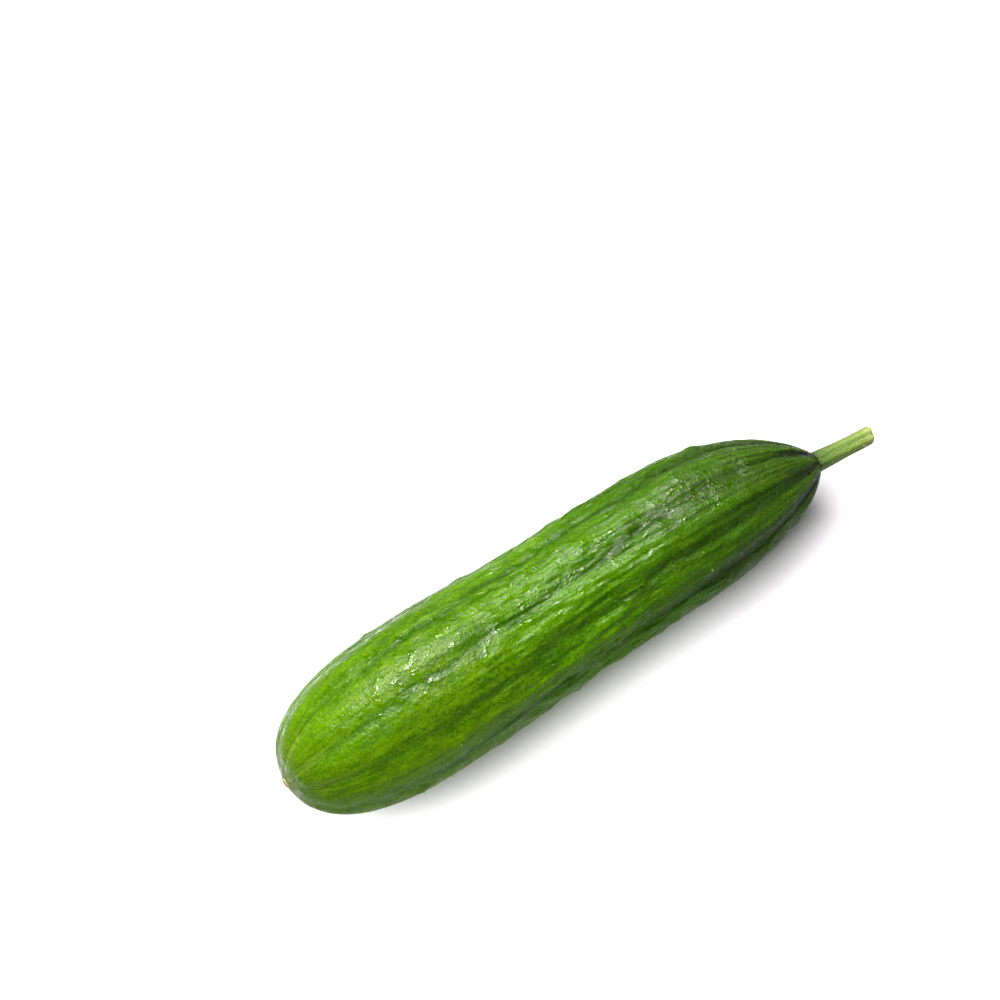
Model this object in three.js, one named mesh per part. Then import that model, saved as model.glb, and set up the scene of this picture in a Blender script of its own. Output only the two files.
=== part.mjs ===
// A short garden cucumber as picked: the ribbed, folded and warty fruit, and the stalk it was cut with.
// Millimetres, +Z up. It lies along X, with its blossom end at -X and its stem at +X, and rests on its belly.
import * as THREE from "three";
import { mergeVertices } from "three/addons/utils/BufferGeometryUtils.js";

// Fruit, with places along it given as shares of its length from the blossom end
const FRUIT_LENGTH = 160;
const BELLY_RADIUS = 20;
const NECK_RADIUS = 18.6;
const TAPER_FROM = 0.25;
const TAPER_TO = 0.5;
const NOSE_SHARE = 0.265; // the rounded blossom end
const NOSE_FULLNESS = 2.45; // 2 is a plain ellipse, more is blunter
const SHOULDER_SHARE = 0.27; // the pointed stem end
const SHOULDER_FULLNESS = 1.7;
const COLLAR_RADIUS = 2.4; // the rim that the stem grows out of
const COLLAR_SHARPNESS = 20;
const SCAR_RADIUS = 3; // the nub that the flower dropped from
const SCAR_HEIGHT = 0.6;
const SWAY = 2.6; // sideways bow, strongest towards the stem
const SWAY_SKEW = 2;
const DROOP = 1.9; // how far the stem end hangs below the middle of the neck
const DROOP_SHARPNESS = 8;
const REST_PRESS = 0.7; // how deep the belly is flattened where it lies

// Ribs, which grow out of the smooth blossom end
const RIB_COUNT = 10;
const RIB_HEIGHT = 0.75;
const RIB_TWIST = 0.35;
const RIB_VALLEY = 0.12; // how softly the furrows between the ribs are rounded
const RIB_MEAN = 0.65; // the part of a rib's height that leaves the girth as it is
const RIB_START = 0.3;
const RIB_FROM = 0.15;
const RIB_TO = 0.6;

// Slack folds of the skin: waves round and along it, each swung aside by the other's course
const FOLDS = [
  { height: 0.42, around: 7, swing: 2.1, swingRate: 19, along: 41, weave: 1.7, weaveCount: 3 },
  { height: 0.25, around: 13, swing: 3, swingRate: 23, along: 70, weave: 2, weaveCount: 5 },
];
const FOLD_AT_NOSE = 0.25;
const FOLD_FROM = 0.18;
const FOLD_TO = 0.45;
const FOLD_AT_STEM = 0.35;
const FADE_FROM = 0.65;
const FADE_TO = 0.9;

// Warts
const WART_COUNT = 56;
const WART_HEIGHT = 0.6;
const WART_RADIUS = 2.3;
const WART_FROM = 0.1;
const WART_TO = 0.9;
const GOLDEN_ANGLE = Math.PI * (3 - Math.sqrt(5));

// Stem
const STEM_LENGTH = 16;
const STEM_RADIUS = 1.9;
const STEM_FLARE = 0.4; // extra radius at the root
const STEM_FLARE_LENGTH = 5;
const STEM_RIBS = 5;
const STEM_RIB_HEIGHT = 0.2;
const STEM_LEAN = -1.8; // how far its tip stands to the side
const STEM_RISE = 0.6;
const STEM_CUT_SLOPE = 0.25; // the cut is a little slanted
const STEM_GAP = 0.3; // clearance between the stem's root and the collar

// Fineness of the skins
const FRUIT_RINGS = 80;
const FRUIT_SIDES = 64;
const STEM_RINGS = 12;
const STEM_SIDES = 20;

const { lerp, smoothstep, clamp } = THREE.MathUtils;
const FULL_TURN = 2 * Math.PI;

// The height of a rounded end, from 0 at its tip to 1 where it has grown out
function roundedEnd(share, fullness) {
  const short = 1 - clamp(share, 0, 1);
  return (1 - short ** fullness) ** (1 / fullness);
}

// The girth of the fruit without its rounded ends
function barrelRadius(t) {
  return lerp(BELLY_RADIUS, NECK_RADIUS, smoothstep(t, TAPER_FROM, TAPER_TO));
}

// The smooth outline that the relief stands on
function outlineRadius(t) {
  const nose = roundedEnd(t / NOSE_SHARE, NOSE_FULLNESS);
  const shoulder = roundedEnd((1 - t) / SHOULDER_SHARE, SHOULDER_FULLNESS);
  return Math.hypot(barrelRadius(t) * nose * shoulder, COLLAR_RADIUS * t ** COLLAR_SHARPNESS);
}

// Round ribs with narrow furrows
function ribs(t, angle) {
  const wave = Math.cos((RIB_COUNT / 2) * (angle + RIB_TWIST * t));
  const crest = Math.hypot(wave, RIB_VALLEY);
  return RIB_HEIGHT * lerp(RIB_START, 1, smoothstep(t, RIB_FROM, RIB_TO)) * (crest - RIB_MEAN);
}

function foldWave(fold, t, angle) {
  const across = Math.sin(fold.around * angle + fold.swing * Math.sin(fold.swingRate * t));
  const along = Math.sin(fold.along * t + fold.weave * Math.sin(fold.weaveCount * angle));
  return fold.height * across * along;
}

// Folds, which are deepest in the middle of the fruit
function folds(t, angle) {
  const risen = lerp(FOLD_AT_NOSE, 1, smoothstep(t, FOLD_FROM, FOLD_TO));
  const faded = lerp(1, FOLD_AT_STEM, smoothstep(t, FADE_FROM, FADE_TO));
  return risen * faded * FOLDS.reduce((sum, fold) => sum + foldWave(fold, t, angle), 0);
}

// Warts on a golden-angle spiral, so that they are even on all sides
function warts(t, angle) {
  const radius = outlineRadius(t);
  let height = 0;
  for (let k = 0; k < WART_COUNT; k++) {
    const place = lerp(WART_FROM, WART_TO, (k + 0.5) / WART_COUNT);
    const along = (t - place) * FRUIT_LENGTH;
    const turn = angle - k * GOLDEN_ANGLE;
    const around = Math.atan2(Math.sin(turn), Math.cos(turn)) * radius;
    height += WART_HEIGHT * Math.exp(-(along * along + around * around) / WART_RADIUS ** 2);
  }
  return height;
}

// The line through the middle of the fruit, low enough for its belly to lie flat
function fruitAxis(t) {
  const x = FRUIT_LENGTH * t;
  const y = SWAY * Math.sin(Math.PI * t ** SWAY_SKEW);
  const z = barrelRadius(t) - REST_PRESS - DROOP * t ** DROOP_SHARPNESS;
  return new THREE.Vector3(x, y, z);
}

function fruitPoint({ share, out }, angle) {
  const outline = outlineRadius(share);
  const relief = ribs(share, angle) + folds(share, angle) + warts(share, angle);
  const radius = out * (outline + relief * smoothstep(outline, COLLAR_RADIUS, BELLY_RADIUS / 2));
  const nub = SCAR_HEIGHT * Math.exp(-((outline / SCAR_RADIUS) ** 2)) * (1 - smoothstep(share, 0, NOSE_SHARE));
  const point = fruitAxis(share);
  point.x -= nub;
  point.y += radius * Math.cos(angle);
  point.z = Math.max(0, point.z + radius * Math.sin(angle));
  return point;
}

function stemPoint({ share, out }, angle) {
  const along = share * STEM_LENGTH;
  const flare = STEM_FLARE * Math.exp(-((along / STEM_FLARE_LENGTH) ** 2));
  const ribbed = STEM_RIB_HEIGHT * Math.cos(STEM_RIBS * angle);
  const radius = out * (STEM_RADIUS + flare + ribbed);
  const side = radius * Math.cos(angle);
  const up = radius * Math.sin(angle);
  const point = fruitAxis(1);
  point.x += STEM_GAP + along + share * STEM_CUT_SLOPE * side;
  point.y += STEM_LEAN * share + side;
  point.z += STEM_RISE * share ** 2 + up;
  return point;
}

// Stations evenly spread over a rounded body: its ends get as many as its sides
function roundedStations(count) {
  return evenStations(count).map(({ share }) => ({ share: (1 - Math.cos(Math.PI * share)) / 2, out: 1 }));
}

function evenStations(count) {
  return Array.from({ length: count + 1 }, (_, j) => ({ share: j / count, out: 1 }));
}

// A closed skin through rings of points: a lathe gives the rings, and place says where each point goes
function skin(stations, sides, place) {
  const rows = stations.length - 1;
  const lathe = new THREE.LatheGeometry(stations.map((_, j) => new THREE.Vector2(1, j)), sides);
  const uv = lathe.getAttribute("uv");
  const position = lathe.getAttribute("position");
  for (let i = 0; i < position.count; i++) {
    const angle = (uv.getX(i) % 1) * FULL_TURN;
    const point = place(stations[Math.round(uv.getY(i) * rows)], angle);
    position.setXYZ(i, point.x, point.y, point.z);
  }
  lathe.deleteAttribute("uv");
  lathe.deleteAttribute("normal");
  const closed = mergeVertices(lathe);
  closed.computeVertexNormals();
  return closed;
}

const fruitStations = [...roundedStations(FRUIT_RINGS), { share: 1, out: 0 }];
const fruit = new THREE.Mesh(
  skin(fruitStations, FRUIT_SIDES, fruitPoint),
  new THREE.MeshStandardMaterial({ color: 0x47721b, roughness: 0.35, metalness: 0 }),
);
fruit.name = "fruit";

const stemStations = [{ share: 0, out: 0 }, ...evenStations(STEM_RINGS), { share: 1, out: 0 }];
const stem = new THREE.Mesh(
  skin(stemStations, STEM_SIDES, stemPoint),
  new THREE.MeshStandardMaterial({ color: 0x89a84f, roughness: 0.6, metalness: 0 }),
);
stem.name = "stem";

// The origin is on the resting surface, under the middle of the whole length
const cucumber = new THREE.Group();
cucumber.add(fruit, stem);
const middle = new THREE.Box3().setFromObject(cucumber).getCenter(new THREE.Vector3());
cucumber.position.set(-middle.x, -middle.y, 0);

export default cucumber;
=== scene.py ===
"""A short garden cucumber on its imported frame: the ribbed fruit, its spines, its scar and its stem."""

import logging
import math
from dataclasses import dataclass, fields
from enum import Enum
from types import SimpleNamespace
from typing import Union

import bpy
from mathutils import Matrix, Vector


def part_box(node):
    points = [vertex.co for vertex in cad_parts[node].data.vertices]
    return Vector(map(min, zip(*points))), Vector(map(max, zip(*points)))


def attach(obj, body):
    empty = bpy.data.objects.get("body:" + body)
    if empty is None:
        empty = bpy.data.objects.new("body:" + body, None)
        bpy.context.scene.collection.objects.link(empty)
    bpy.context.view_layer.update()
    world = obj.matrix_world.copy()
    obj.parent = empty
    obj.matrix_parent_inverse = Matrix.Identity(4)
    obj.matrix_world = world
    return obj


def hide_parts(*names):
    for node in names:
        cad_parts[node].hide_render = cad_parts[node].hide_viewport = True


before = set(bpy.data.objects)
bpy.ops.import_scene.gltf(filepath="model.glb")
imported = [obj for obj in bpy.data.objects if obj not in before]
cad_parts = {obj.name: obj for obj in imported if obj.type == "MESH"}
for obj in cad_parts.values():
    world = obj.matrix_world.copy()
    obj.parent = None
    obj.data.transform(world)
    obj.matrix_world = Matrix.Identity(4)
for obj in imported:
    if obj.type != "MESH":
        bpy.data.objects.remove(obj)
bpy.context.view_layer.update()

log = logging.getLogger("cucumber")

BODY = "root"
GOLDEN_ANGLE = math.pi * (3 - math.sqrt(5))
SIZE_SOCKETS = {float: "NodeSocketFloat", int: "NodeSocketInt"}
MERGE_DISTANCE = 1e-6

Colour = tuple[float, float, float, float]
Stops = tuple[tuple[float, Colour], ...]
Span = tuple[float, float]


class Node(Enum):
    """The solids of the frame that the pieces stand for."""

    FRUIT = "fruit"
    STEM = "stem"


class Slot(Enum):
    """The material slots of the record."""

    FRUIT = "fruit_skin"
    STEM = "stem_skin"


class Grain(Enum):
    """Attributes that the pieces carry for their finishes."""

    SKIN = "skin"
    RIB = "rib"
    FACE = "face"
    BRISTLE = "bristle"


class Reach(Enum):
    """What a light falls on: the object without the floor, or the floor alone."""

    OBJECT = "EXCLUDE"
    FLOOR = "INCLUDE"

    def limit(self, lamp: bpy.types.Object, floor: bpy.types.Object) -> None:
        """Keeps a lamp's light to what it falls on.

        Args:
            lamp: the lamp.
            floor: the floor, which is lit alone or left out.
        """
        reached = bpy.data.collections.new(lamp.name)
        reached.objects.link(floor)
        reached.collection_objects[0].light_linking.link_state = self.value
        lamp.light_linking.receiver_collection = reached


def tint(red: int, green: int, blue: int) -> Colour:
    """Turns a colour in display steps, from 0 to 255, into linear light with full alpha."""
    steps = (step / 255 for step in (red, green, blue))
    return (*(s / 12.92 if s <= 0.04045 else ((s + 0.055) / 1.055) ** 2.4 for s in steps), 1.0)


@dataclass(frozen=True)
class Field:
    """A number or a vector that varies over a surface: the output socket of a node."""

    tree: bpy.types.NodeTree
    socket: bpy.types.NodeSocket

    def calc(self, operation: str, *others: "Value") -> "Field":
        """Puts a Math node after this field, with further operands."""
        return Canvas(self.tree).calc(operation, self, *others)

    def __add__(self, other: "Value") -> "Field":
        """The sum of the two."""
        return self.calc("ADD", other)

    def __sub__(self, other: "Value") -> "Field":
        """This field less the other."""
        return self.calc("SUBTRACT", other)

    def __rsub__(self, other: float) -> "Field":
        """The number less this field."""
        return Canvas(self.tree).calc("SUBTRACT", other, self)

    def __mul__(self, other: "Value") -> "Field":
        """The product of the two."""
        return self.calc("MULTIPLY", other)

    def __truediv__(self, other: "Value") -> "Field":
        """This field over the other."""
        return self.calc("DIVIDE", other)

    def __rtruediv__(self, other: float) -> "Field":
        """The number over this field."""
        return Canvas(self.tree).calc("DIVIDE", other, self)

    def __pow__(self, other: "Value") -> "Field":
        """This field to the power of the other."""
        return self.calc("POWER", other)

    __radd__ = __add__
    __rmul__ = __mul__

    def sin(self) -> "Field":
        """The sine."""
        return self.calc("SINE")

    def cos(self) -> "Field":
        """The cosine."""
        return self.calc("COSINE")

    def root(self) -> "Field":
        """The square root."""
        return self.calc("SQRT")

    def exp(self) -> "Field":
        """The exponential."""
        return self.calc("EXPONENT")

    def size(self) -> "Field":
        """The size without the sign."""
        return self.calc("ABSOLUTE")

    def at_least(self, floor: "Value") -> "Field":
        """The greater of the two."""
        return self.calc("MAXIMUM", floor)

    def at_most(self, ceiling: "Value") -> "Field":
        """The lesser of the two."""
        return self.calc("MINIMUM", ceiling)


Value = Union[Field, float]


class Canvas:
    """Draws nodes in one tree."""

    def __init__(self, tree: bpy.types.NodeTree) -> None:
        """Keeps the tree that the nodes go into."""
        self.tree = tree

    def feed(self, socket: bpy.types.NodeSocket, value: object) -> None:
        """Links a field to an input socket, or sets a constant on it.

        Args:
            socket: the input socket.
            value: a field, or the constant.
        """
        if isinstance(value, Field):
            self.tree.links.new(value.socket, socket)
        else:
            socket.default_value = value

    def node(self, kind: str, inputs: dict[str, object], **settings: object) -> bpy.types.Node:
        """Adds a node.

        Args:
            kind: the node's type.
            inputs: a field or a constant for each input, by the socket's identifier.
            settings: the node's own properties.

        Returns:
            The new node.
        """
        node = self.tree.nodes.new(kind)
        for name, value in settings.items():
            setattr(node, name, value)
        sockets = {socket.identifier: socket for socket in node.inputs}
        for identifier, value in inputs.items():
            self.feed(sockets[identifier], value)
        return node

    def field(self, kind: str, output: str, inputs: dict[str, object], **settings: object) -> Field:
        """Adds a node and takes one of its outputs, by the identifier of its socket."""
        outputs = self.node(kind, inputs, **settings).outputs
        return Field(self.tree, next(socket for socket in outputs if socket.identifier == output))

    def calc(self, operation: str, *operands: Value) -> Field:
        """A Math node with its operands in order."""
        sockets = ("Value", "Value_001", "Value_002")
        return self.field("ShaderNodeMath", "Value", dict(zip(sockets, operands)), operation=operation)

    def smooth(self, value: Field, start: Value, stop: Value) -> Field:
        """A soft step: 0 at start, 1 at stop and an S between them."""
        inputs = {"Value": value, "From Min": start, "From Max": stop}
        return self.field("ShaderNodeMapRange", "Result", inputs, interpolation_type="SMOOTHSTEP")

    def between(self, share: Field, start: Value, stop: Value) -> Field:
        """Runs from start to stop as the share goes from 0 to 1."""
        inputs = {"Value": share, "To Min": start, "To Max": stop}
        return self.field("ShaderNodeMapRange", "Result", inputs)

    def vector(self, x: Value, y: Value, z: Value) -> Field:
        """A vector from its three parts."""
        return self.field("ShaderNodeCombineXYZ", "Vector", {"X": x, "Y": y, "Z": z})

    def split(self, vector: Field) -> tuple[Field, Field, Field]:
        """The three parts of a vector."""
        outputs = self.node("ShaderNodeSeparateXYZ", {"Vector": vector}).outputs
        return tuple(Field(self.tree, socket) for socket in outputs)

    def noise(self, vector: Field, scale: float = 1.0, detail: float = 2.0, roughness: float = 0.5) -> Field:
        """Cloudy noise about 0.5, with as many lumps to a unit as its scale says."""
        inputs = {"Vector": vector, "Scale": scale, "Detail": detail, "Roughness": roughness}
        return self.field("ShaderNodeTexNoise", "Fac", inputs)


class Growth(Canvas):
    """A Geometry Nodes tree that has a named input for each size of its piece."""

    def __init__(self, name: str, *holders: object) -> None:
        """Starts the tree.

        Args:
            name: the tree's name.
            holders: dataclasses, whose number fields become the inputs.
        """
        super().__init__(bpy.data.node_groups.new(name, "GeometryNodeTree"))
        self.values: dict[str, object] = {}
        identifiers: dict[str, str] = {}
        for holder in holders:
            for item in fields(holder):
                value = getattr(holder, item.name)
                if type(value) in SIZE_SOCKETS:
                    label = item.name.replace("_", " ").capitalize()
                    identifiers[item.name] = self.add_input(label, SIZE_SOCKETS[type(value)])
                    self.values[identifiers[item.name]] = value
        self.finish_input = self.add_input("Finish", "NodeSocketMaterial")
        self.tree.interface.new_socket("Piece", in_out="OUTPUT", socket_type="NodeSocketGeometry")
        entry = self.tree.nodes.new("NodeGroupInput")
        sockets = {socket.identifier: Field(self.tree, socket) for socket in entry.outputs}
        self.size = SimpleNamespace(**{name: sockets[key] for name, key in identifiers.items()})
        self.finish = sockets[self.finish_input]

    def add_input(self, label: str, kind: str) -> str:
        """Adds an input to the tree and returns its identifier."""
        return self.tree.interface.new_socket(label, in_out="INPUT", socket_type=kind).identifier

    def sleeve(self, rings: Field, sides: Field) -> tuple[Field, Field, Field]:
        """Makes a grid that is later wrapped round an axis.

        Args:
            rings: how many points it has along the axis.
            sides: how many points it has around the axis.

        Returns:
            The grid, and each point's share of the way along and its angle around.
        """
        inputs = {"Size X": 1.0, "Size Y": 1.0, "Vertices X": rings, "Vertices Y": sides}
        grid = self.field("GeometryNodeMeshGrid", "Mesh", inputs)
        x, y, _ = self.split(self.field("GeometryNodeInputPosition", "Position", {}))
        return grid, x + 0.5, (y + 0.5) * math.tau

    def mark(self, geometry: Field, grain: Grain, value: Value, kind: str = "FLOAT") -> Field:
        """Stores an attribute on the points of a geometry."""
        inputs = {"Geometry": geometry, "Name": grain.value, "Value": value}
        return self.field("GeometryNodeStoreNamedAttribute", "Geometry", inputs, data_type=kind)

    def move(self, geometry: Field, place: Field) -> Field:
        """Puts each point in its place."""
        return self.field("GeometryNodeSetPosition", "Geometry", {"Geometry": geometry, "Position": place})

    def wrap(self, sleeve: Field, place: Field) -> Field:
        """Wraps a sleeve round its axis.

        Args:
            sleeve: the grid.
            place: where each of its points goes.

        Returns:
            A closed, smooth skin that faces outwards.
        """
        moved = self.move(sleeve, place)
        inputs = {"Geometry": moved, "Distance": MERGE_DISTANCE}
        merged = self.field("GeometryNodeMergeByDistance", "Geometry", inputs)
        flipped = self.field("GeometryNodeFlipFaces", "Mesh", {"Mesh": merged})
        return self.field("GeometryNodeSetShadeSmooth", "Geometry", {"Geometry": flipped})

    def pattern(self, name: str, along: Field, angle: Field, detail: float, roughness: float = 0.5) -> Field:
        """Noise about 0 that meets itself round a skin.

        Args:
            name: what the sizes that scale it along and around the skin are called.
            along: the place along the skin.
            angle: the angle around it.
            detail: how many finer layers there are.
            roughness: how strong the finer layers are.

        Returns:
            The noise.
        """
        length, across = (getattr(self.size, f"{name}_{way}") for way in ("along", "around"))
        place = self.vector(along * length, angle.cos() * across, angle.sin() * across)
        return self.noise(place, 1.0, detail, roughness) - 0.5

    def random(self, low: Value, high: Value, seed: Field) -> Field:
        """A random number for each element, with a fixed seed."""
        inputs = {"Min_001": low, "Max_001": high, "Seed": seed}
        return self.field("FunctionNodeRandomValue", "Value_001", inputs)

    def stand(self, points: Field, shape: Field, direction: Field, scale: Field) -> Field:
        """Stands a copy of a shape on each point.

        Args:
            points: the points.
            shape: the shape, which stands along +Z.
            direction: where the copy at each point leans.
            scale: the size of each copy.

        Returns:
            The copies.
        """
        turned = self.field("FunctionNodeAlignRotationToVector", "Rotation", {"Vector": direction}, axis="Z")
        inputs = {"Points": points, "Instance": shape, "Rotation": turned, "Scale": scale}
        return self.field("GeometryNodeInstanceOnPoints", "Instances", inputs)

    def join(self, *parts: Field) -> Field:
        """Joins several parts into one.

        Args:
            parts: the parts.

        Returns:
            The whole.
        """
        node = self.tree.nodes.new("GeometryNodeJoinGeometry")
        for part in parts:
            self.feed(node.inputs[0], part)
        return Field(self.tree, node.outputs[0])

    def grow(self, name: str, geometry: Field, finish: bpy.types.Material) -> bpy.types.Object:
        """Ends the tree and makes a plain mesh of what it grows.

        Args:
            name: the piece's name.
            geometry: what the tree has made.
            finish: the piece's material.

        Returns:
            The piece, at the origin and with no modifier left.
        """
        realized = self.field("GeometryNodeRealizeInstances", "Geometry", {"Geometry": geometry})
        inputs = {"Geometry": realized, "Material": self.finish}
        dressed = self.field("GeometryNodeSetMaterial", "Geometry", inputs)
        self.feed(self.tree.nodes.new("NodeGroupOutput").inputs[0], dressed)
        piece = bpy.data.objects.new(name, bpy.data.meshes.new(name))
        bpy.context.scene.collection.objects.link(piece)
        modifier = piece.modifiers.new("growth", "NODES")
        modifier.node_group = self.tree
        for identifier, value in self.values.items():
            modifier[identifier] = value
        modifier[self.finish_input] = finish
        depsgraph = bpy.context.evaluated_depsgraph_get()
        grown = piece.evaluated_get(depsgraph)
        mesh = bpy.data.meshes.new_from_object(grown, preserve_all_data_layers=True, depsgraph=depsgraph)
        piece.modifiers.remove(modifier)
        piece.data = mesh
        mesh.name = name
        return piece


class Paint(Canvas):
    """The node tree of one material."""

    def __init__(self, name: str) -> None:
        """Starts a material with a plain surface shader.

        Args:
            name: the material's name.
        """
        self.material = bpy.data.materials.new(name)
        self.material.use_nodes = True
        super().__init__(self.material.node_tree)
        self.surface = self.tree.nodes["Principled BSDF"]

    def set(self, **sockets: object) -> None:
        """Sets the shader's sockets, whose names are given with _ for each space."""
        for name, value in sockets.items():
            self.feed(self.surface.inputs[name.replace("_", " ").title().replace("Ior", "IOR")], value)

    def grain(self, grain: Grain, output: str = "Vector") -> Field:
        """Reads an attribute of the piece."""
        return self.field("ShaderNodeAttribute", output, {}, attribute_name=grain.value)

    def place(self) -> Field:
        """The place on the piece, in metres."""
        return self.field("ShaderNodeTexCoord", "Object", {})

    def stretched(self, along: float, around: float) -> Field:
        """The place on the piece, scaled along it and across it."""
        x, y, z = self.split(self.place())
        return self.vector(x * along, y * around, z * around)

    def pattern(self, along: float, around: float, detail: float, roughness: float = 0.5) -> Field:
        """Noise that meets itself round a skin, with so many lumps along its length and to its radius."""
        x, y, z = self.split(self.grain(Grain.SKIN))
        return self.noise(self.vector(x * along, y * around, z * around), 1.0, detail, roughness)

    def ramp(self, share: Field, stops: Stops) -> Field:
        """Runs through colours.

        Args:
            share: where to read, from 0 to 1.
            stops: the colours with their places.

        Returns:
            The colour.
        """
        node = self.node("ShaderNodeValToRGB", {"Fac": share})
        elements = node.color_ramp.elements
        while len(elements) < len(stops):
            elements.new(1.0)
        for element, (place, colour) in zip(elements, stops):
            element.position = place
            element.color = colour
        return Field(self.tree, node.outputs["Color"])

    def mix(self, share: Field, under: object, over: object) -> Field:
        """Lays one colour over another by its share."""
        inputs = {"Factor_Float": share, "A_Color": under, "B_Color": over}
        return self.field("ShaderNodeMix", "Result_Color", inputs, data_type="RGBA")

    def bump(self, height: Field, distance: float, strength: float) -> Field:
        """Small relief, as a normal."""
        inputs = {"Height": height, "Distance": distance, "Strength": strength}
        return self.field("ShaderNodeBump", "Normal", inputs)


@dataclass(frozen=True)
class SkinFinish:
    """The fruit's waxy skin: lime at the blossom end, dark green at the stem, streaked along its length."""

    name: str = "cucumber_skin"
    bright: Stops = (
        (0.0, tint(112, 136, 30)),
        (0.006, tint(96, 134, 8)),
        (0.05, tint(94, 134, 0)),
        (0.25, tint(88, 126, 0)),
        (0.5, tint(82, 128, 0)),
        (0.75, tint(58, 97, 6)),
        (1.0, tint(58, 87, 18)),
    )
    deep: Stops = (
        (0.0, tint(96, 120, 24)),
        (0.006, tint(68, 106, 2)),
        (0.05, tint(57, 100, 0)),
        (0.25, tint(41, 82, 0)),
        (0.5, tint(38, 80, 0)),
        (0.75, tint(29, 57, 3)),
        (1.0, tint(22, 38, 8)),
    )
    vein: Colour = tint(142, 164, 70)
    # Darker green laid into the rib furrows: partly the skin's own colour, partly painted shade in the
    # creases.
    furrow: Colour = tint(30, 54, 12)
    collar: Colour = tint(22, 23, 20)
    grown: Span = (0.3, 0.75)
    streak_along: float = 5.5
    streak_around: float = 15.0
    streak_share: Span = (0.5, 0.75)
    mottle_along: float = 32.0
    mottle_around: float = 9.0
    pattern_share: float = 0.9
    speckle_along: float = 1400.0
    speckle_around: float = 2400.0
    speckle_share: Span = (0.5, 0.4)
    speckle_span: Span = (0.5, 0.36)
    speckle_depth: float = 0.3
    # How much the tone rises on rib crests and falls in the furrows: partly painted shade on the ribs.
    crest_tone_and_shade_share: float = 0.12
    rib_middle: float = 0.6
    tone_lift: float = 0.05
    tone_span: Span = (0.34, 0.66)
    vein_place: Span = (0.1, 0.0)
    vein_patch: Span = (0.3, 0.65)
    vein_span: Span = (0.55, 0.85)
    vein_depth: float = 0.4
    # Where along the fruit and how strongly the furrows are darkened: partly painted shade in the creases.
    furrow_place: Span = (0.05, 0.5)
    furrow_patch: Span = (0.3, 0.6)
    furrow_span: Span = (0.45, 0.1)
    furrow_depth: float = 0.45
    spoke_along: float = 3.0
    spoke_around: float = 9.0
    spoke_place: Span = (0.86, 0.985)
    spoke_span: Span = (0.4, 0.2)
    spoke_spread: float = 0.35
    spoke_sway: float = 1.2
    collar_place: Span = (0.99, 0.999)
    collar_depth: float = 0.85
    ripple_along: float = 45.0
    ripple_around: float = 28.0
    ripple_from: Span = (0.15, 0.45)
    ripple_fade: Span = (0.7, 0.95)
    ripple_left: float = 0.4
    ripple_height: float = 0.00016
    pore_along: float = 1600.0
    pore_around: float = 1400.0
    pore_height: float = 0.0002
    peel_scale: float = 420.0
    peel_height: float = 0.0004
    wax_span: Span = (0.52, 0.64)
    wax_roughness: float = 0.18
    roughness: float = 0.44
    shine: float = 0.32
    glow: float = 0.7
    glow_reach: tuple[float, float, float] = (0.0007, 0.001, 0.0003)

    def material(self) -> bpy.types.Material:
        """Builds the material.

        Returns:
            The material, which reads the skin's attributes.
        """
        paint = Paint(self.name)
        along, _, _ = paint.split(paint.grain(Grain.SKIN))
        peel = paint.noise(paint.place(), scale=self.peel_scale, detail=1.0)
        waxy = paint.smooth(peel, *self.wax_span)
        paint.set(
            base_color=self.colour(paint, along),
            roughness=paint.between(waxy, self.roughness, self.wax_roughness),
            normal=self.relief(paint, along, peel),
            specular_ior_level=self.shine,
            subsurface_weight=self.glow,
            subsurface_radius=self.glow_reach,
            subsurface_scale=1.0,
        )
        return paint.material

    def colour(self, paint: Paint, along: Field) -> Field:
        """Paints the streaked greens, the pale veins, the collar, and furrows darker and rib crests lighter,
        which is partly painted shade on the ribs.

        Args:
            paint: the material's tree.
            along: the share of the length.

        Returns:
            The colour.
        """
        rib = paint.grain(Grain.RIB, "Fac")
        streak = paint.pattern(self.streak_along, self.streak_around, 4.0, 0.6)
        mottle = paint.pattern(self.mottle_along, self.mottle_around, 4.0, 0.6)
        speckle = paint.noise(paint.stretched(self.speckle_along, self.speckle_around), 1.0, 3.0, 0.65)
        grown = paint.smooth(along, *self.grown)
        lengthwise = paint.between(grown, *self.streak_share)
        fine = (speckle - 0.5) * paint.between(grown, *self.speckle_share) + self.tone_lift
        # Tone lighter on rib crests and darker in the furrows: partly the skin's own colour, partly painted
        # shade on the ribs.
        crest_tone_and_shade = (rib - self.rib_middle) * self.crest_tone_and_shade_share
        tone = streak * lengthwise + mottle * (self.pattern_share - lengthwise) + fine + crest_tone_and_shade
        deep = paint.ramp(along, self.deep)
        colour = paint.mix(paint.smooth(tone, *self.tone_span), deep, paint.ramp(along, self.bright))
        colour = paint.mix(paint.smooth(speckle, *self.speckle_span) * self.speckle_depth, colour, deep)
        near_blossom = paint.smooth(along, *self.vein_place) * paint.smooth(mottle, *self.vein_patch)
        vein = paint.smooth((1 - rib) * 0.35 + streak * 0.9, *self.vein_span)
        colour = paint.mix(vein * near_blossom * self.vein_depth, colour, self.vein)
        # Darkens the rib furrows: partly the skin's own colour, partly painted shade in the creases.
        ribbed = paint.between(paint.smooth(along, *self.furrow_place), 0.0, self.furrow_depth)
        furrow = paint.smooth(rib, *self.furrow_span) * ribbed * paint.smooth(mottle, *self.furrow_patch)
        colour = paint.mix(furrow, colour, self.furrow)
        spoke = paint.pattern(self.spoke_along, self.spoke_around, 3.0) - 0.5
        near_stem = paint.smooth(along, *self.spoke_place)
        hollow = rib + spoke * self.spoke_sway - near_stem * self.spoke_spread
        dark = near_stem * paint.smooth(hollow, *self.spoke_span)
        ring = paint.smooth(along, *self.collar_place)
        return paint.mix(dark.at_least(ring) * self.collar_depth, colour, self.collar)

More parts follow.
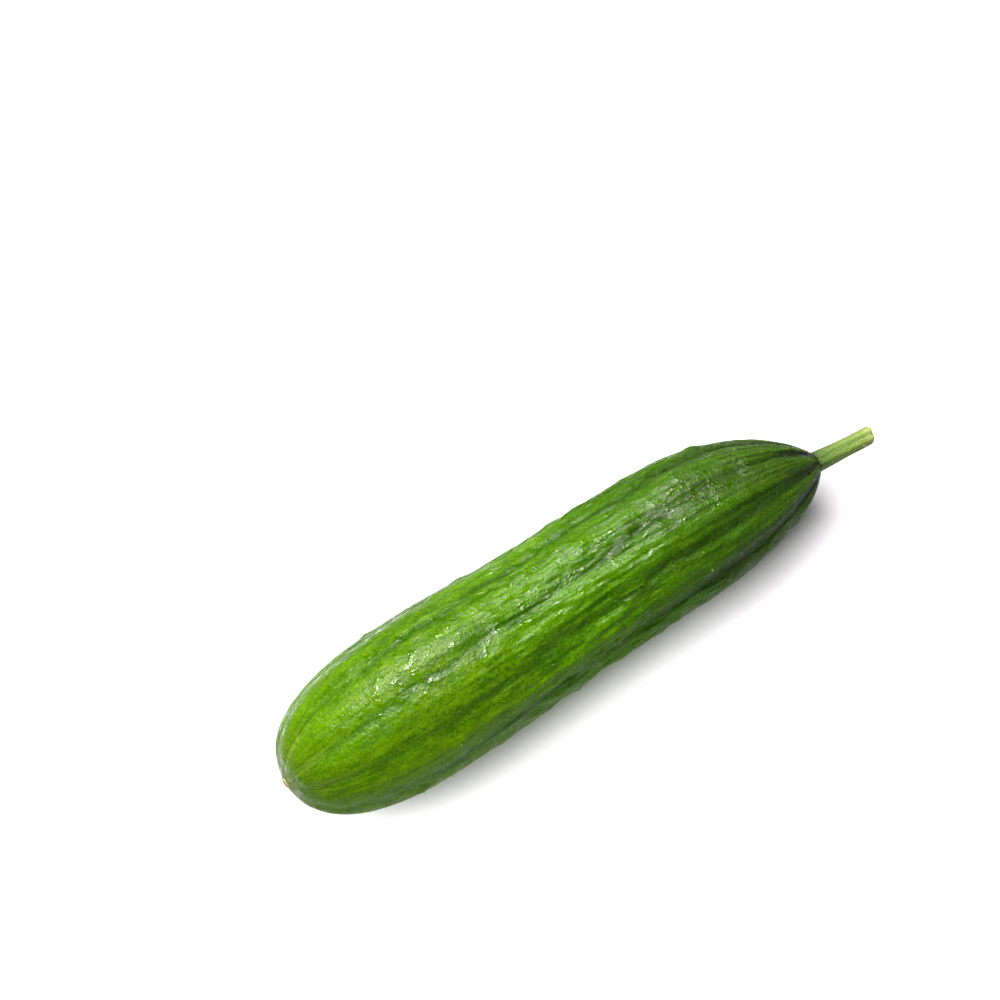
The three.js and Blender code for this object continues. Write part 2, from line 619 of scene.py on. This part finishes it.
    def relief(self, paint: Paint, along: Field, peel: Field) -> Field:
        """Raises the pores, the peel and the ripples of the loose skin.

        Args:
            paint: the material's tree.
            along: the share of the length.
            peel: the dimples of the peel.

        Returns:
            The normal.
        """
        pores = paint.noise(paint.stretched(self.pore_along, self.pore_around), detail=1.5)
        ripple = paint.pattern(self.ripple_along, self.ripple_around, 3.0)
        faded = paint.between(paint.smooth(along, *self.ripple_fade), 1.0, self.ripple_left)
        loose = paint.smooth(along, *self.ripple_from) * faded
        height = pores * self.pore_height + peel * self.peel_height + ripple * loose * self.ripple_height
        return paint.bump(height, 1.0, 1.0)


@dataclass(frozen=True)
class StemFinish:
    """The pale green stalk, with darker furrows, a dark root and a cream cut."""

    name: str = "stalk_skin"
    stalk: Stops = (
        (0.0, tint(34, 48, 20)),
        (0.1, tint(66, 92, 27)),
        (0.4, tint(96, 121, 41)),
        (0.8, tint(111, 134, 53)),
        (1.0, tint(147, 159, 85)),
    )
    furrow: Colour = tint(70, 100, 28)
    cut: Colour = tint(190, 190, 130)
    rim: Colour = tint(140, 154, 78)
    bristle: Colour = tint(196, 200, 158)
    streak_along: float = 3.0
    streak_around: float = 5.0
    furrow_span: Span = (0.95, 0.5)
    furrow_depth: float = 0.6
    rim_span: Span = (0.5, 0.1)
    rim_width: float = 0.04
    pore_scale: float = 1500.0
    pore_height: float = 0.00025
    pore_roughness: float = 0.3
    roughness: float = 0.25

    def material(self) -> bpy.types.Material:
        """Builds the material.

        Returns:
            The material, which reads the stalk's attributes.
        """
        paint = Paint(self.name)
        along, _, _ = paint.split(paint.grain(Grain.SKIN))
        rib = paint.grain(Grain.RIB, "Fac")
        face = paint.grain(Grain.FACE, "Fac")
        streak = paint.pattern(self.streak_along, self.streak_around, 5.0, 0.65)
        pores = paint.noise(paint.place(), scale=self.pore_scale, detail=3.0)
        colour = paint.ramp(along, self.stalk)
        furrow = paint.smooth(rib * 0.5 + streak * 0.8 + pores * 0.3, *self.furrow_span)
        colour = paint.mix(furrow * self.furrow_depth, colour, self.furrow)
        flesh = paint.mix(paint.smooth(face + (pores - 0.5) * 0.5, *self.rim_span), self.cut, self.rim)
        colour = paint.mix(paint.smooth(face, 0.0, self.rim_width), colour, flesh)
        colour = paint.mix(paint.grain(Grain.BRISTLE, "Fac"), colour, self.bristle)
        paint.set(
            base_color=colour,
            roughness=pores * self.pore_roughness + self.roughness,
            normal=paint.bump(pores + streak, self.pore_height, 1.0),
        )
        return paint.material


@dataclass(frozen=True)
class CorkFinish:
    """The corky cream scar that the flower leaves."""

    name: str = "blossom_cork"
    cream: Colour = tint(206, 198, 150)
    brown: Colour = tint(138, 116, 70)
    grain_scale: float = 900.0
    grain_height: float = 0.0003
    grain_span: Span = (0.5, 0.7)
    roughness: float = 0.75

    def material(self) -> bpy.types.Material:
        """Builds the material.

        Returns:
            The material, cream with brown grains.
        """
        paint = Paint(self.name)
        grains = paint.noise(paint.place(), scale=self.grain_scale, detail=5.0, roughness=0.65)
        colour = paint.mix(paint.smooth(grains, *self.grain_span), self.cream, self.brown)
        paint.set(
            base_color=colour,
            roughness=self.roughness,
            normal=paint.bump(grains, self.grain_height, 1.0),
        )
        return paint.material


@dataclass(frozen=True)
class SpineFinish:
    """The dry pale stubs of the spines."""

    name: str = "spine_stub"
    pale: Colour = tint(150, 162, 108)
    straw: Colour = tint(104, 116, 54)
    patch_scale: float = 160.0
    patch_span: Span = (0.35, 0.65)
    roughness: float = 0.6

    def material(self) -> bpy.types.Material:
        """Builds the material.

        Returns:
            The material, which varies from stub to stub.
        """
        paint = Paint(self.name)
        patches = paint.noise(paint.place(), scale=self.patch_scale)
        paint.set(
            base_color=paint.mix(paint.smooth(patches, *self.patch_span), self.pale, self.straw),
            roughness=self.roughness,
        )
        return paint.material


@dataclass(frozen=True)
class FloorFinish:
    """A plain pale floor."""

    name: str = "pale_floor"
    shade: Colour = (0.95, 0.925, 0.95, 1.0)
    roughness: float = 0.85

    def material(self) -> bpy.types.Material:
        """Builds the material.

        Returns:
            The material, of one even shade.
        """
        paint = Paint(self.name)
        paint.set(base_color=self.shade, roughness=self.roughness)
        return paint.material


@dataclass(frozen=True)
class Fold:
    """A set of slack folds: waves round and along the fruit, each swung aside by the other's course."""

    height: float
    around: float
    swing: float
    swing_rate: float
    along: float
    weave: float
    weave_count: float


@dataclass
class Fruit:
    """The fruit, along X from its blossom end, with places along it as shares of its length."""

    start_x: float
    middle_y: float
    rings: int = 301
    sides: int = 321
    length: float = 0.160
    belly_radius: float = 0.020
    neck_radius: float = 0.0186
    taper_from: float = 0.25
    taper_to: float = 0.5
    nose_share: float = 0.265
    nose_fullness: float = 2.45
    shoulder_share: float = 0.27
    shoulder_fullness: float = 1.7
    collar_radius: float = 0.0024
    collar_sharpness: float = 20.0
    scar_radius: float = 0.003
    scar_height: float = 0.0006
    sway: float = 0.0026
    sway_skew: float = 2.0
    droop: float = 0.0019
    droop_sharpness: float = 8.0
    rest_press: float = 0.0007
    rib_count: float = 10.0
    rib_height: float = 0.00095
    rib_twist: float = 0.35
    rib_valley: float = 0.1
    rib_mean: float = 0.65
    rib_start: float = 0.7
    rib_phase: float = -0.32
    rib_from: float = 0.15
    rib_to: float = 0.6
    rib_wander: float = 0.3
    wander_along: float = 9.0
    wander_around: float = 1.6
    fold_at_nose: float = 0.15
    fold_from: float = 0.2
    fold_to: float = 0.48
    fold_at_stem: float = 0.35
    fade_from: float = 0.6
    fade_to: float = 0.8
    wrinkle_height: float = 0.0006
    wrinkle_sharpness: float = 4.5
    wrinkle_along: float = 9.0
    wrinkle_around: float = 6.5
    ripple_height: float = 0.0008
    ripple_along: float = 20.0
    ripple_around: float = 13.0
    lump_height: float = 0.0004
    lump_along: float = 26.0
    lump_around: float = 4.2
    wart_count: int = 56
    wart_height: float = 0.00045
    wart_radius: float = 0.0019
    wart_from: float = 0.1
    wart_to: float = 0.9
    folds: tuple[Fold, ...] = (
        Fold(0.0003, 7.0, 2.1, 19.0, 41.0, 1.7, 3.0),
        Fold(0.0002, 13.0, 3.0, 23.0, 70.0, 2.0, 5.0),
    )

    def stem_root(self) -> Vector:
        """Where the middle of the stem leaves the fruit."""
        height = self.neck_radius - self.rest_press - self.droop
        return Vector((self.start_x + self.length, self.middle_y, height))

    def build(self, finish: SkinFinish) -> bpy.types.Object:
        """Grows the fruit's skin.

        Args:
            finish: the finish of the skin.

        Returns:
            The piece that stands for the fruit's solid.
        """
        growth = Growth("fruit_growth", self)
        sleeve, share, angle = growth.sleeve(growth.size.rings, growth.size.sides)
        rows = growth.size.rings - 1
        even = (share * rows / (rows - 1)).at_most(1.0)
        along = (1 - (even * math.pi).cos()) * 0.5
        out = growth.smooth(share * rows, rows, rows - 1)
        spot = Spot(growth, self, along, angle)
        skin = spot.skin(spot.warts(), out)
        grain = growth.vector(along, angle.cos(), angle.sin())
        sleeve = growth.mark(sleeve, Grain.SKIN, grain, "FLOAT_VECTOR")
        sleeve = growth.mark(sleeve, Grain.RIB, spot.rib_crest())
        piece = growth.grow("cucumber_fruit", growth.wrap(sleeve, skin), finish.material())
        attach(piece, BODY)
        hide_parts(Node.FRUIT.value)
        return piece


@dataclass(frozen=True)
class Spot:
    """A spot on the fruit's skin: its share of the length and its angle around.

    Its formulas are nodes in a tree that has the fruit's sizes as inputs.
    """

    growth: Growth
    fruit: Fruit
    along: Field
    angle: Field

    @classmethod
    def of_warts(cls, growth: Growth, fruit: Fruit) -> tuple[Field, "Spot"]:
        """Lays the warts out on a golden-angle spiral.

        Args:
            growth: the tree, started with the fruit's sizes.
            fruit: the fruit.

        Returns:
            A point for each wart, and the spot where it grows.
        """
        size = growth.size
        points = growth.field("GeometryNodePoints", "Geometry", {"Count": size.wart_count})
        index = growth.field("GeometryNodeInputIndex", "Index", {})
        place = growth.between((index + 0.5) / size.wart_count, size.wart_from, size.wart_to)
        return points, cls(growth, fruit, place, index * GOLDEN_ANGLE)

    @property
    def size(self) -> SimpleNamespace:
        """The fruit's sizes, as fields of the tree."""
        return self.growth.size

    def pattern(self, name: str, detail: float, roughness: float = 0.5) -> Field:
        """One of the skin's patterns, about 0."""
        return self.growth.pattern(name, self.along, self.angle, detail, roughness)

    def rounded_end(self, share: Field, fullness: Field) -> Field:
        """The height of a rounded end, from 0 at its tip to 1 where it has grown out."""
        short = (1 - share).at_least(0.0).at_most(1.0)
        return (1 - short ** fullness) ** (1 / fullness)

    def barrel(self) -> Field:
        """The girth of the fruit without its rounded ends."""
        taper = self.growth.smooth(self.along, self.size.taper_from, self.size.taper_to)
        return self.growth.between(taper, self.size.belly_radius, self.size.neck_radius)

    def outline(self) -> Field:
        """Rounds the ends of the fruit off, and leaves a collar for the stem.

        Returns:
            The radius of the smooth outline that the relief stands on.
        """
        size = self.size
        nose = self.rounded_end(self.along / size.nose_share, size.nose_fullness)
        shoulder = self.rounded_end((1 - self.along) / size.shoulder_share, size.shoulder_fullness)
        domed = self.barrel() * nose * shoulder
        collar = size.collar_radius * self.along ** size.collar_sharpness
        return (domed * domed + collar * collar).root()

    def middle(self) -> tuple[Field, Field, Field]:
        """Bows the line through the middle of the fruit, low enough for its belly to lie flat.

        Returns:
            The three parts of the line's place.
        """
        size = self.size
        x = size.start_x + size.length * self.along
        y = size.middle_y + size.sway * (self.along ** size.sway_skew * math.pi).sin()
        z = self.barrel() - size.rest_press - size.droop * self.along ** size.droop_sharpness
        return x, y, z

    def rib_crest(self) -> Field:
        """Twists the ribs and lets them wander.

        Returns:
            How near the spot is to the crest of a rib, from about 0 in the furrows to 1.
        """
        size = self.size
        wander = size.rib_wander * self.pattern("wander", 3.0)
        turned = self.angle + size.rib_phase + size.rib_twist * self.along + wander
        wave = (turned * size.rib_count * 0.5).cos()
        return (wave * wave + size.rib_valley * size.rib_valley).root()

    def ribs(self) -> Field:
        """Raises round ribs with narrow furrows, which grow out of the smooth blossom end.

        Returns:
            The height.
        """
        size = self.size
        grown = self.growth.smooth(self.along, size.rib_from, size.rib_to)
        height = size.rib_height * self.growth.between(grown, size.rib_start, 1.0)
        return height * (self.rib_crest() - size.rib_mean)

    def slack(self) -> Field:
        """Loosens the skin in the middle of the fruit.

        Returns:
            How loose it is, from 0 to 1.
        """
        size = self.size
        risen = self.growth.smooth(self.along, size.fold_from, size.fold_to)
        faded = self.growth.smooth(self.along, size.fade_from, size.fade_to)
        at_nose = self.growth.between(risen, size.fold_at_nose, 1.0)
        return at_nose * self.growth.between(faded, 1.0, size.fold_at_stem)

    def fold(self, fold: Fold) -> Field:
        """Raises one set of slack folds.

        Args:
            fold: the set.

        Returns:
            The height.
        """
        swing = fold.swing * (self.along * fold.swing_rate).sin()
        weave = fold.weave * (self.angle * fold.weave_count).sin()
        across = (self.angle * fold.around + swing).sin()
        return fold.height * across * (self.along * fold.along + weave).sin()

    def wrinkles(self) -> Field:
        """Raises wrinkles with sharp crests, which run along the fruit, and finer ripples between them.

        Returns:
            The height.
        """
        size = self.size
        course = self.pattern("wrinkle", 2.0)
        crest = (1 - course.size() * size.wrinkle_sharpness).at_least(0.0)
        ripple = self.pattern("ripple", 2.0)
        return size.wrinkle_height * (crest - 0.5) + size.ripple_height * ripple

    def relief(self) -> Field:
        """Adds up everything on the skin but the warts.

        Returns:
            The height.
        """
        folds = sum(self.fold(fold) for fold in self.fruit.folds)
        lumps = self.pattern("lump", 4.0, 0.62)
        slack = self.slack() * (folds + self.wrinkles())
        return self.ribs() + slack + self.size.lump_height * lumps

    def smooth_place(self) -> Field:
        """Places the spot on the outline, without its relief.

        Returns:
            The place.
        """
        x, y, z = self.middle()
        radius = self.outline()
        return self.growth.vector(x, y + radius * self.angle.cos(), z + radius * self.angle.sin())

    def warts(self) -> Field:
        """Raises a round wart about each of the warts' points.

        Returns:
            The height.
        """
        points, wart = Spot.of_warts(self.growth, self.fruit)
        points = self.growth.move(points, wart.smooth_place())
        inputs = {"Target": points, "Source Position": self.smooth_place()}
        distance = self.growth.field("GeometryNodeProximity", "Distance", inputs, target_element="POINTS")
        near = distance / self.size.wart_radius
        return self.size.wart_height * (near * near * -1.0).exp()

    def skin(self, warts: Field, out: Value = 1.0) -> Field:
        """Places the spot on the skin.

        Args:
            warts: the height of the warts there.
            out: how far out of the middle it is, from 0 to 1.

        Returns:
            The place.
        """
        size = self.size
        outline = self.outline()
        strength = self.growth.smooth(outline, size.collar_radius, size.belly_radius * 0.5)
        radius = (outline + (self.relief() + warts) * strength) * out
        tip = outline / size.scar_radius
        blunt = self.growth.smooth(self.along, size.nose_share, 0.0)
        nub = size.scar_height * (tip * tip * -1.0).exp() * blunt
        x, y, z = self.middle()
        height = (z + radius * self.angle.sin()).at_least(0.0)
        return self.growth.vector(x - nub, y + radius * self.angle.cos(), height)


@dataclass
class Spines:
    """The stubs of the spines that stood on the warts."""

    stub_radius: float = 0.00022
    stub_height: float = 0.0006
    stub_taper: float = 0.35
    stub_sides: int = 7
    shortest: float = 0.3
    longest: float = 0.85
    bare_below: float = -0.6
    seed: int = 4

    def build(self, fruit: Fruit, finish: SpineFinish) -> bpy.types.Object:
        """Stands a stub on each wart.

        Args:
            fruit: the fruit that they grow on.
            finish: the finish of the stubs.

        Returns:
            The stubs as one piece.
        """
        growth = Growth("spine_growth", fruit, self)
        size = growth.size
        points, spot = Spot.of_warts(growth, fruit)
        points = growth.move(points, spot.skin(size.wart_height))
        inputs = {
            "Vertices": size.stub_sides,
            "Radius Top": size.stub_radius * size.stub_taper,
            "Radius Bottom": size.stub_radius,
            "Depth": size.stub_height,
        }
        stub = growth.field("GeometryNodeMeshCone", "Mesh", inputs)
        outward = growth.vector(0.0, spot.angle.cos(), spot.angle.sin())
        above = growth.smooth(spot.angle.sin(), size.bare_below - 0.1, size.bare_below)
        worn = growth.random(size.shortest, size.longest, size.seed)
        stubs = growth.stand(points, stub, outward, worn * above)
        piece = growth.grow("spine_stubs", stubs, finish.material())
        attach(piece, BODY)
        return piece


@dataclass
class BlossomScar:
    """The corky pad where the flower dropped from the fruit."""

    rings: int = 25
    sides: int = 49
    radius: float = 0.0016
    thickness: float = 0.0006
    roughness: float = 0.25
    lump_along: float = 2.0
    lump_around: float = 2.2
    sunk: float = 0.0003

    def build(self, fruit: Fruit, finish: CorkFinish) -> bpy.types.Object:
        """Grows the pad.

        Args:
            fruit: the fruit that it is on.
            finish: the finish of the pad.

        Returns:
            The pad.
        """
        growth = Growth("scar_growth", self)
        size = growth.size
        sleeve, share, angle = growth.sleeve(size.rings, size.sides)
        polar = share * math.pi
        lumps = 1 + size.roughness * growth.pattern("lump", polar.cos(), angle, 3.0)
        radius = size.radius * polar.sin() * lumps
        tip_x = fruit.start_x - fruit.scar_height
        tip_z = fruit.belly_radius - fruit.rest_press
        x = tip_x + size.sunk - size.thickness * polar.cos() * lumps
        place = growth.vector(x, fruit.middle_y + radius * angle.cos(), tip_z + radius * angle.sin())
        piece = growth.grow("blossom_scar", growth.wrap(sleeve, place), finish.material())
        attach(piece, BODY)
        return piece


@dataclass
class Stem:
    """The ribbed stalk, with its cut end and its short bristles."""

    root_x: float
    root_y: float
    root_z: float
    rings: int = 121
    sides: int = 97
    length: float = 0.016
    gap: float = 0.0003
    sunk: float = 0.0012
    solid_girth: float = 0.0025
    radius: float = 0.0023
    flare: float = 0.0004
    flare_length: float = 0.005
    rib_count: float = 5.0
    rib_height: float = 0.00015
    lean: float = -0.0018
    rise: float = 0.0006
    cut_slope: float = 0.25
    cut_hollow: float = 0.0003
    rim_round: float = 0.00025
    lump_height: float = 0.00022
    lump_along: float = 6.0
    lump_around: float = 1.3
    root_from: float = 0.03
    cut_from: float = 0.86
    bristle_from: float = 0.12
    bristle_to: float = 0.92
    bristle_edge: float = 0.001
    bristle_density: float = 200000.0
    bristle_radius: float = 0.00012
    bristle_height: float = 0.0006
    bristle_taper: float = 0.3
    bristle_sides: int = 5
    shortest: float = 0.4
    seed: int = 11

    def build(self, finish: StemFinish) -> bpy.types.Object:
        """Grows the stalk.

        Args:
            finish: the finish of the stalk.

        Returns:
            The piece that stands for the stem's solid.
        """
        growth = Growth("stem_growth", self)
        size = growth.size
        sleeve, share, angle = growth.sleeve(size.rings, size.sides)
        along = ((share - size.root_from) / (size.cut_from - size.root_from)).at_least(0.0).at_most(1.0)
        face = ((share - size.cut_from) / (1 - size.cut_from)).at_least(0.0)
        root = (share / size.root_from).at_most(1.0)
        wave = (angle * size.rib_count).cos()
        grain = growth.vector(along, angle.cos(), angle.sin())
        sleeve = growth.mark(sleeve, Grain.SKIN, grain, "FLOAT_VECTOR")
        sleeve = growth.mark(sleeve, Grain.RIB, wave * 0.5 + 0.5)
        sleeve = growth.mark(sleeve, Grain.FACE, face)
        stalk = growth.wrap(sleeve, self.skin(growth, along, angle, root * (1 - face), face))
        bristled = growth.join(stalk, self.bristles(growth, stalk))
        piece = growth.grow("cucumber_stem", bristled, finish.material())
        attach(piece, BODY)
        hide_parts(Node.STEM.value)
        return piece

    def bristles(self, growth: Growth, stalk: Field) -> Field:
        """Stands short bristles on the stalk.

        Args:
            growth: the stalk's tree.
            stalk: the stalk's skin.

        Returns:
            The bristles.
        """
        size = growth.size
        reach, _, _ = growth.split(growth.field("GeometryNodeInputPosition", "Position", {}))
        first = size.root_x + size.length * size.bristle_from
        last = size.root_x + size.length * size.bristle_to
        past_root = growth.smooth(reach, first, first + size.bristle_edge)
        clear = past_root * growth.smooth(reach, last, last - size.bristle_edge)
        inputs = {"Mesh": stalk, "Density": size.bristle_density * clear, "Seed": size.seed}
        scatter = growth.node("GeometryNodeDistributePointsOnFaces", inputs, distribute_method="RANDOM")
        points = Field(growth.tree, scatter.outputs["Points"])
        normal = Field(growth.tree, scatter.outputs["Normal"])
        inputs = {
            "Vertices": size.bristle_sides,
            "Radius Top": size.bristle_radius * size.bristle_taper,
            "Radius Bottom": size.bristle_radius,
            "Depth": size.bristle_height,
        }
        cone = growth.field("GeometryNodeMeshCone", "Mesh", inputs)
        cone = growth.mark(cone, Grain.BRISTLE, 1.0)
        return growth.stand(points, cone, normal, growth.random(size.shortest, 1.0, size.seed))

    def skin(self, growth: Growth, along: Field, angle: Field, out: Field, face: Field) -> Field:
        """Where a point of the stalk's skin lies.

        Args:
            growth: the stalk's tree.
            along: the share of the length.
            angle: the angle around.
            out: how far out of the middle it is, from 0 to 1.
            face: how far in it is on the cut face, from 0 at the rim to 1.

        Returns:
            The place.
        """
        size = growth.size
        reach = along * (size.length + size.sunk) - size.sunk
        root = reach.at_least(0.0) / size.flare_length
        flare = size.flare * (root * root * -1.0).exp()
        lumps = growth.pattern("lump", along, angle, 3.0)
        ribbed = size.rib_height * (angle * size.rib_count).cos()
        rim = size.rim_round * growth.smooth(along, 0.97, 1.0) * growth.smooth(face, 0.12, 0.0)
        radius = (size.radius + flare + ribbed + size.lump_height * lumps - rim) * out
        side = radius * angle.cos()
        hollow = size.cut_hollow * growth.smooth(face, 0.05, 0.6)
        x = size.root_x + size.gap + reach + along * size.cut_slope * side - hollow
        y = size.root_y + size.lean * along + side
        z = size.root_z + size.rise * along * along + radius * angle.sin()
        return growth.vector(x, y, z)


@dataclass(frozen=True)
class Light:
    """A light that looks at the middle of the object."""

    name: str
    place: tuple[float, float, float]
    power: float

    def hang(self, kind: str, floor: bpy.types.Object, reach: Reach) -> bpy.types.Object:
        """Hangs the light.

        Args:
            kind: the type of light.
            floor: the floor.
            reach: whether it falls on the object or on the floor.

        Returns:
            The light.
        """
        light = bpy.data.lights.new(self.name, kind)
        light.energy = self.power
        lamp = bpy.data.objects.new(self.name, light)
        lamp.location = self.place
        lamp.rotation_euler = Vector(self.place).to_track_quat("Z", "Y").to_euler()
        bpy.context.scene.collection.objects.link(lamp)
        reach.limit(lamp, floor)
        return lamp


@dataclass(frozen=True)
class Lamp(Light):
    """A soft square lamp that leaves the floor out, and whose glints may show on the object."""

    size: float
    colour: tuple[float, float, float]
    glints: bool

    def build(self, floor: bpy.types.Object) -> None:
        """Hangs the lamp.

        Args:
            floor: the floor.
        """
        lamp = self.hang("AREA", floor, Reach.OBJECT)
        lamp.data.size = self.size
        lamp.data.color = self.colour
        lamp.visible_glossy = self.glints


@dataclass(frozen=True)
class Skylight(Light):
    """An even wash over the whole floor, in which the object throws a soft shadow."""

    spread: float

    def build(self, floor: bpy.types.Object) -> None:
        """Opens the skylight.

        Args:
            floor: the floor, which is all that it lights.
        """
        lamp = self.hang("SUN", floor, Reach.FLOOR)
        lamp.data.angle = math.radians(self.spread)
        lamp.visible_glossy = False


@dataclass
class Studio:
    """The pale floor, the soft light and the camera."""

    floor_size: float = 60.0
    surround_above: float = 0.03
    surround_front: float = 0.5
    surround_back: float = 2.4
    backdrop: float = 1.0
    lamps: tuple[Lamp, ...] = (
        Lamp("key_softbox", (0.2, 0.46, 1.23), 29.0, 0.3, (1.0, 0.97, 0.88), True),
        Lamp("back_glow", (0.2, 0.95, 1.0), 1.2, 1.6, (1.0, 0.96, 0.85), True),
        Lamp("back_softbox", (-0.4, 0.85, 1.0), 30.0, 2.0, (1.0, 0.96, 0.85), False),
        Lamp("fill_softbox", (-0.45, -1.1, 0.6), 20.0, 1.6, (1.0, 1.0, 1.0), False),
    )
    skylight: Skylight = Skylight("floor_wash", (-1.1, 0.35, 1.2), 10.4, 80.0)
    target: tuple[float, float, float] = (0.00452, 0.04313, 0.0)
    azimuth: float = -34.75
    elevation: float = 60.0
    distance: float = 0.8
    lens: float = 111.17
    sensor: float = 36.0

    def build(self, finish: FloorFinish) -> None:
        """Lays the floor, lights it and sets up the camera."""
        self.build_light(self.build_floor(finish))
        self.build_camera()

    def build_floor(self, finish: FloorFinish) -> bpy.types.Object:
        """Lays the floor.

        Args:
            finish: the finish of the floor.

        Returns:
            The floor.
        """
        half = self.floor_size / 2
        mesh = bpy.data.meshes.new("floor")
        corners = [(-half, -half, 0), (half, -half, 0), (half, half, 0), (-half, half, 0)]
        mesh.from_pydata(corners, [], [(0, 1, 2, 3)])
        mesh.materials.append(finish.material())
        floor = bpy.data.objects.new("floor", mesh)
        bpy.context.scene.collection.objects.link(floor)
        floor.visible_glossy = False
        floor.visible_diffuse = False
        return floor

    def build_light(self, floor: bpy.types.Object) -> None:
        """Hangs the lamps in a dim room, which is brighter near the floor and has a white backdrop.

        Args:
            floor: the floor, which has a light of its own.
        """
        world = bpy.data.worlds.new("surround")
        world.use_nodes = True
        canvas = Canvas(world.node_tree)
        across, back, height = canvas.split(canvas.field("ShaderNodeTexCoord", "Generated", {}))
        behind = canvas.smooth(back - across * 0.5, 0.0, 0.8)
        steep = canvas.smooth(height, -0.35, -0.75)
        low = canvas.between(behind * steep, self.surround_front, self.surround_back)
        glow = canvas.between(canvas.smooth(height, -0.5, -0.1), low, self.surround_above)
        seen = canvas.field("ShaderNodeLightPath", "Is Camera Ray", {})
        strength = canvas.between(seen, glow, self.backdrop)
        background = world.node_tree.nodes["Background"]
        background.inputs["Color"].default_value = (1.0, 1.0, 1.0, 1.0)
        canvas.feed(background.inputs["Strength"], strength)
        scene = bpy.context.scene
        scene.world = world
        scene.view_settings.view_transform = "Standard"
        for light in (*self.lamps, self.skylight):
            light.build(floor)

    def build_camera(self) -> None:
        """Sets up the camera at its viewing angle."""
        turn = math.radians(self.azimuth)
        rise = math.radians(self.elevation)
        flat = math.cos(rise)
        back = Vector((math.sin(turn) * flat, -math.cos(turn) * flat, math.sin(rise)))
        data = bpy.data.cameras.new("camera")
        data.lens = self.lens
        data.sensor_width = self.sensor
        camera = bpy.data.objects.new("camera", data)
        camera.location = Vector(self.target) + back * self.distance
        camera.rotation_euler = back.to_track_quat("Z", "Y").to_euler()
        bpy.context.scene.collection.objects.link(camera)
        bpy.context.scene.camera = camera


def report(piece: bpy.types.Object) -> None:
    """Logs a piece's name and how many faces it has."""
    log.info("%s: %d faces", piece.name, len(piece.data.polygons))


def main() -> None:
    """Builds the studio and the pieces in order."""
    logging.basicConfig(level=logging.INFO, format="%(name)s %(message)s")
    Studio().build(FloorFinish())
    fruit_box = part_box(Node.FRUIT.value)
    stem_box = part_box(Node.STEM.value)
    fruit = Fruit(start_x=fruit_box[1].x - Fruit.length, middle_y=stem_box[1].y - Stem.solid_girth)
    report(fruit.build(SkinFinish()))
    report(Spines().build(fruit, SpineFinish()))
    report(BlossomScar().build(fruit, CorkFinish()))
    root = fruit.stem_root()
    report(Stem(root.x, root.y, root.z).build(StemFinish()))


if __name__ == "__main__":
    main()
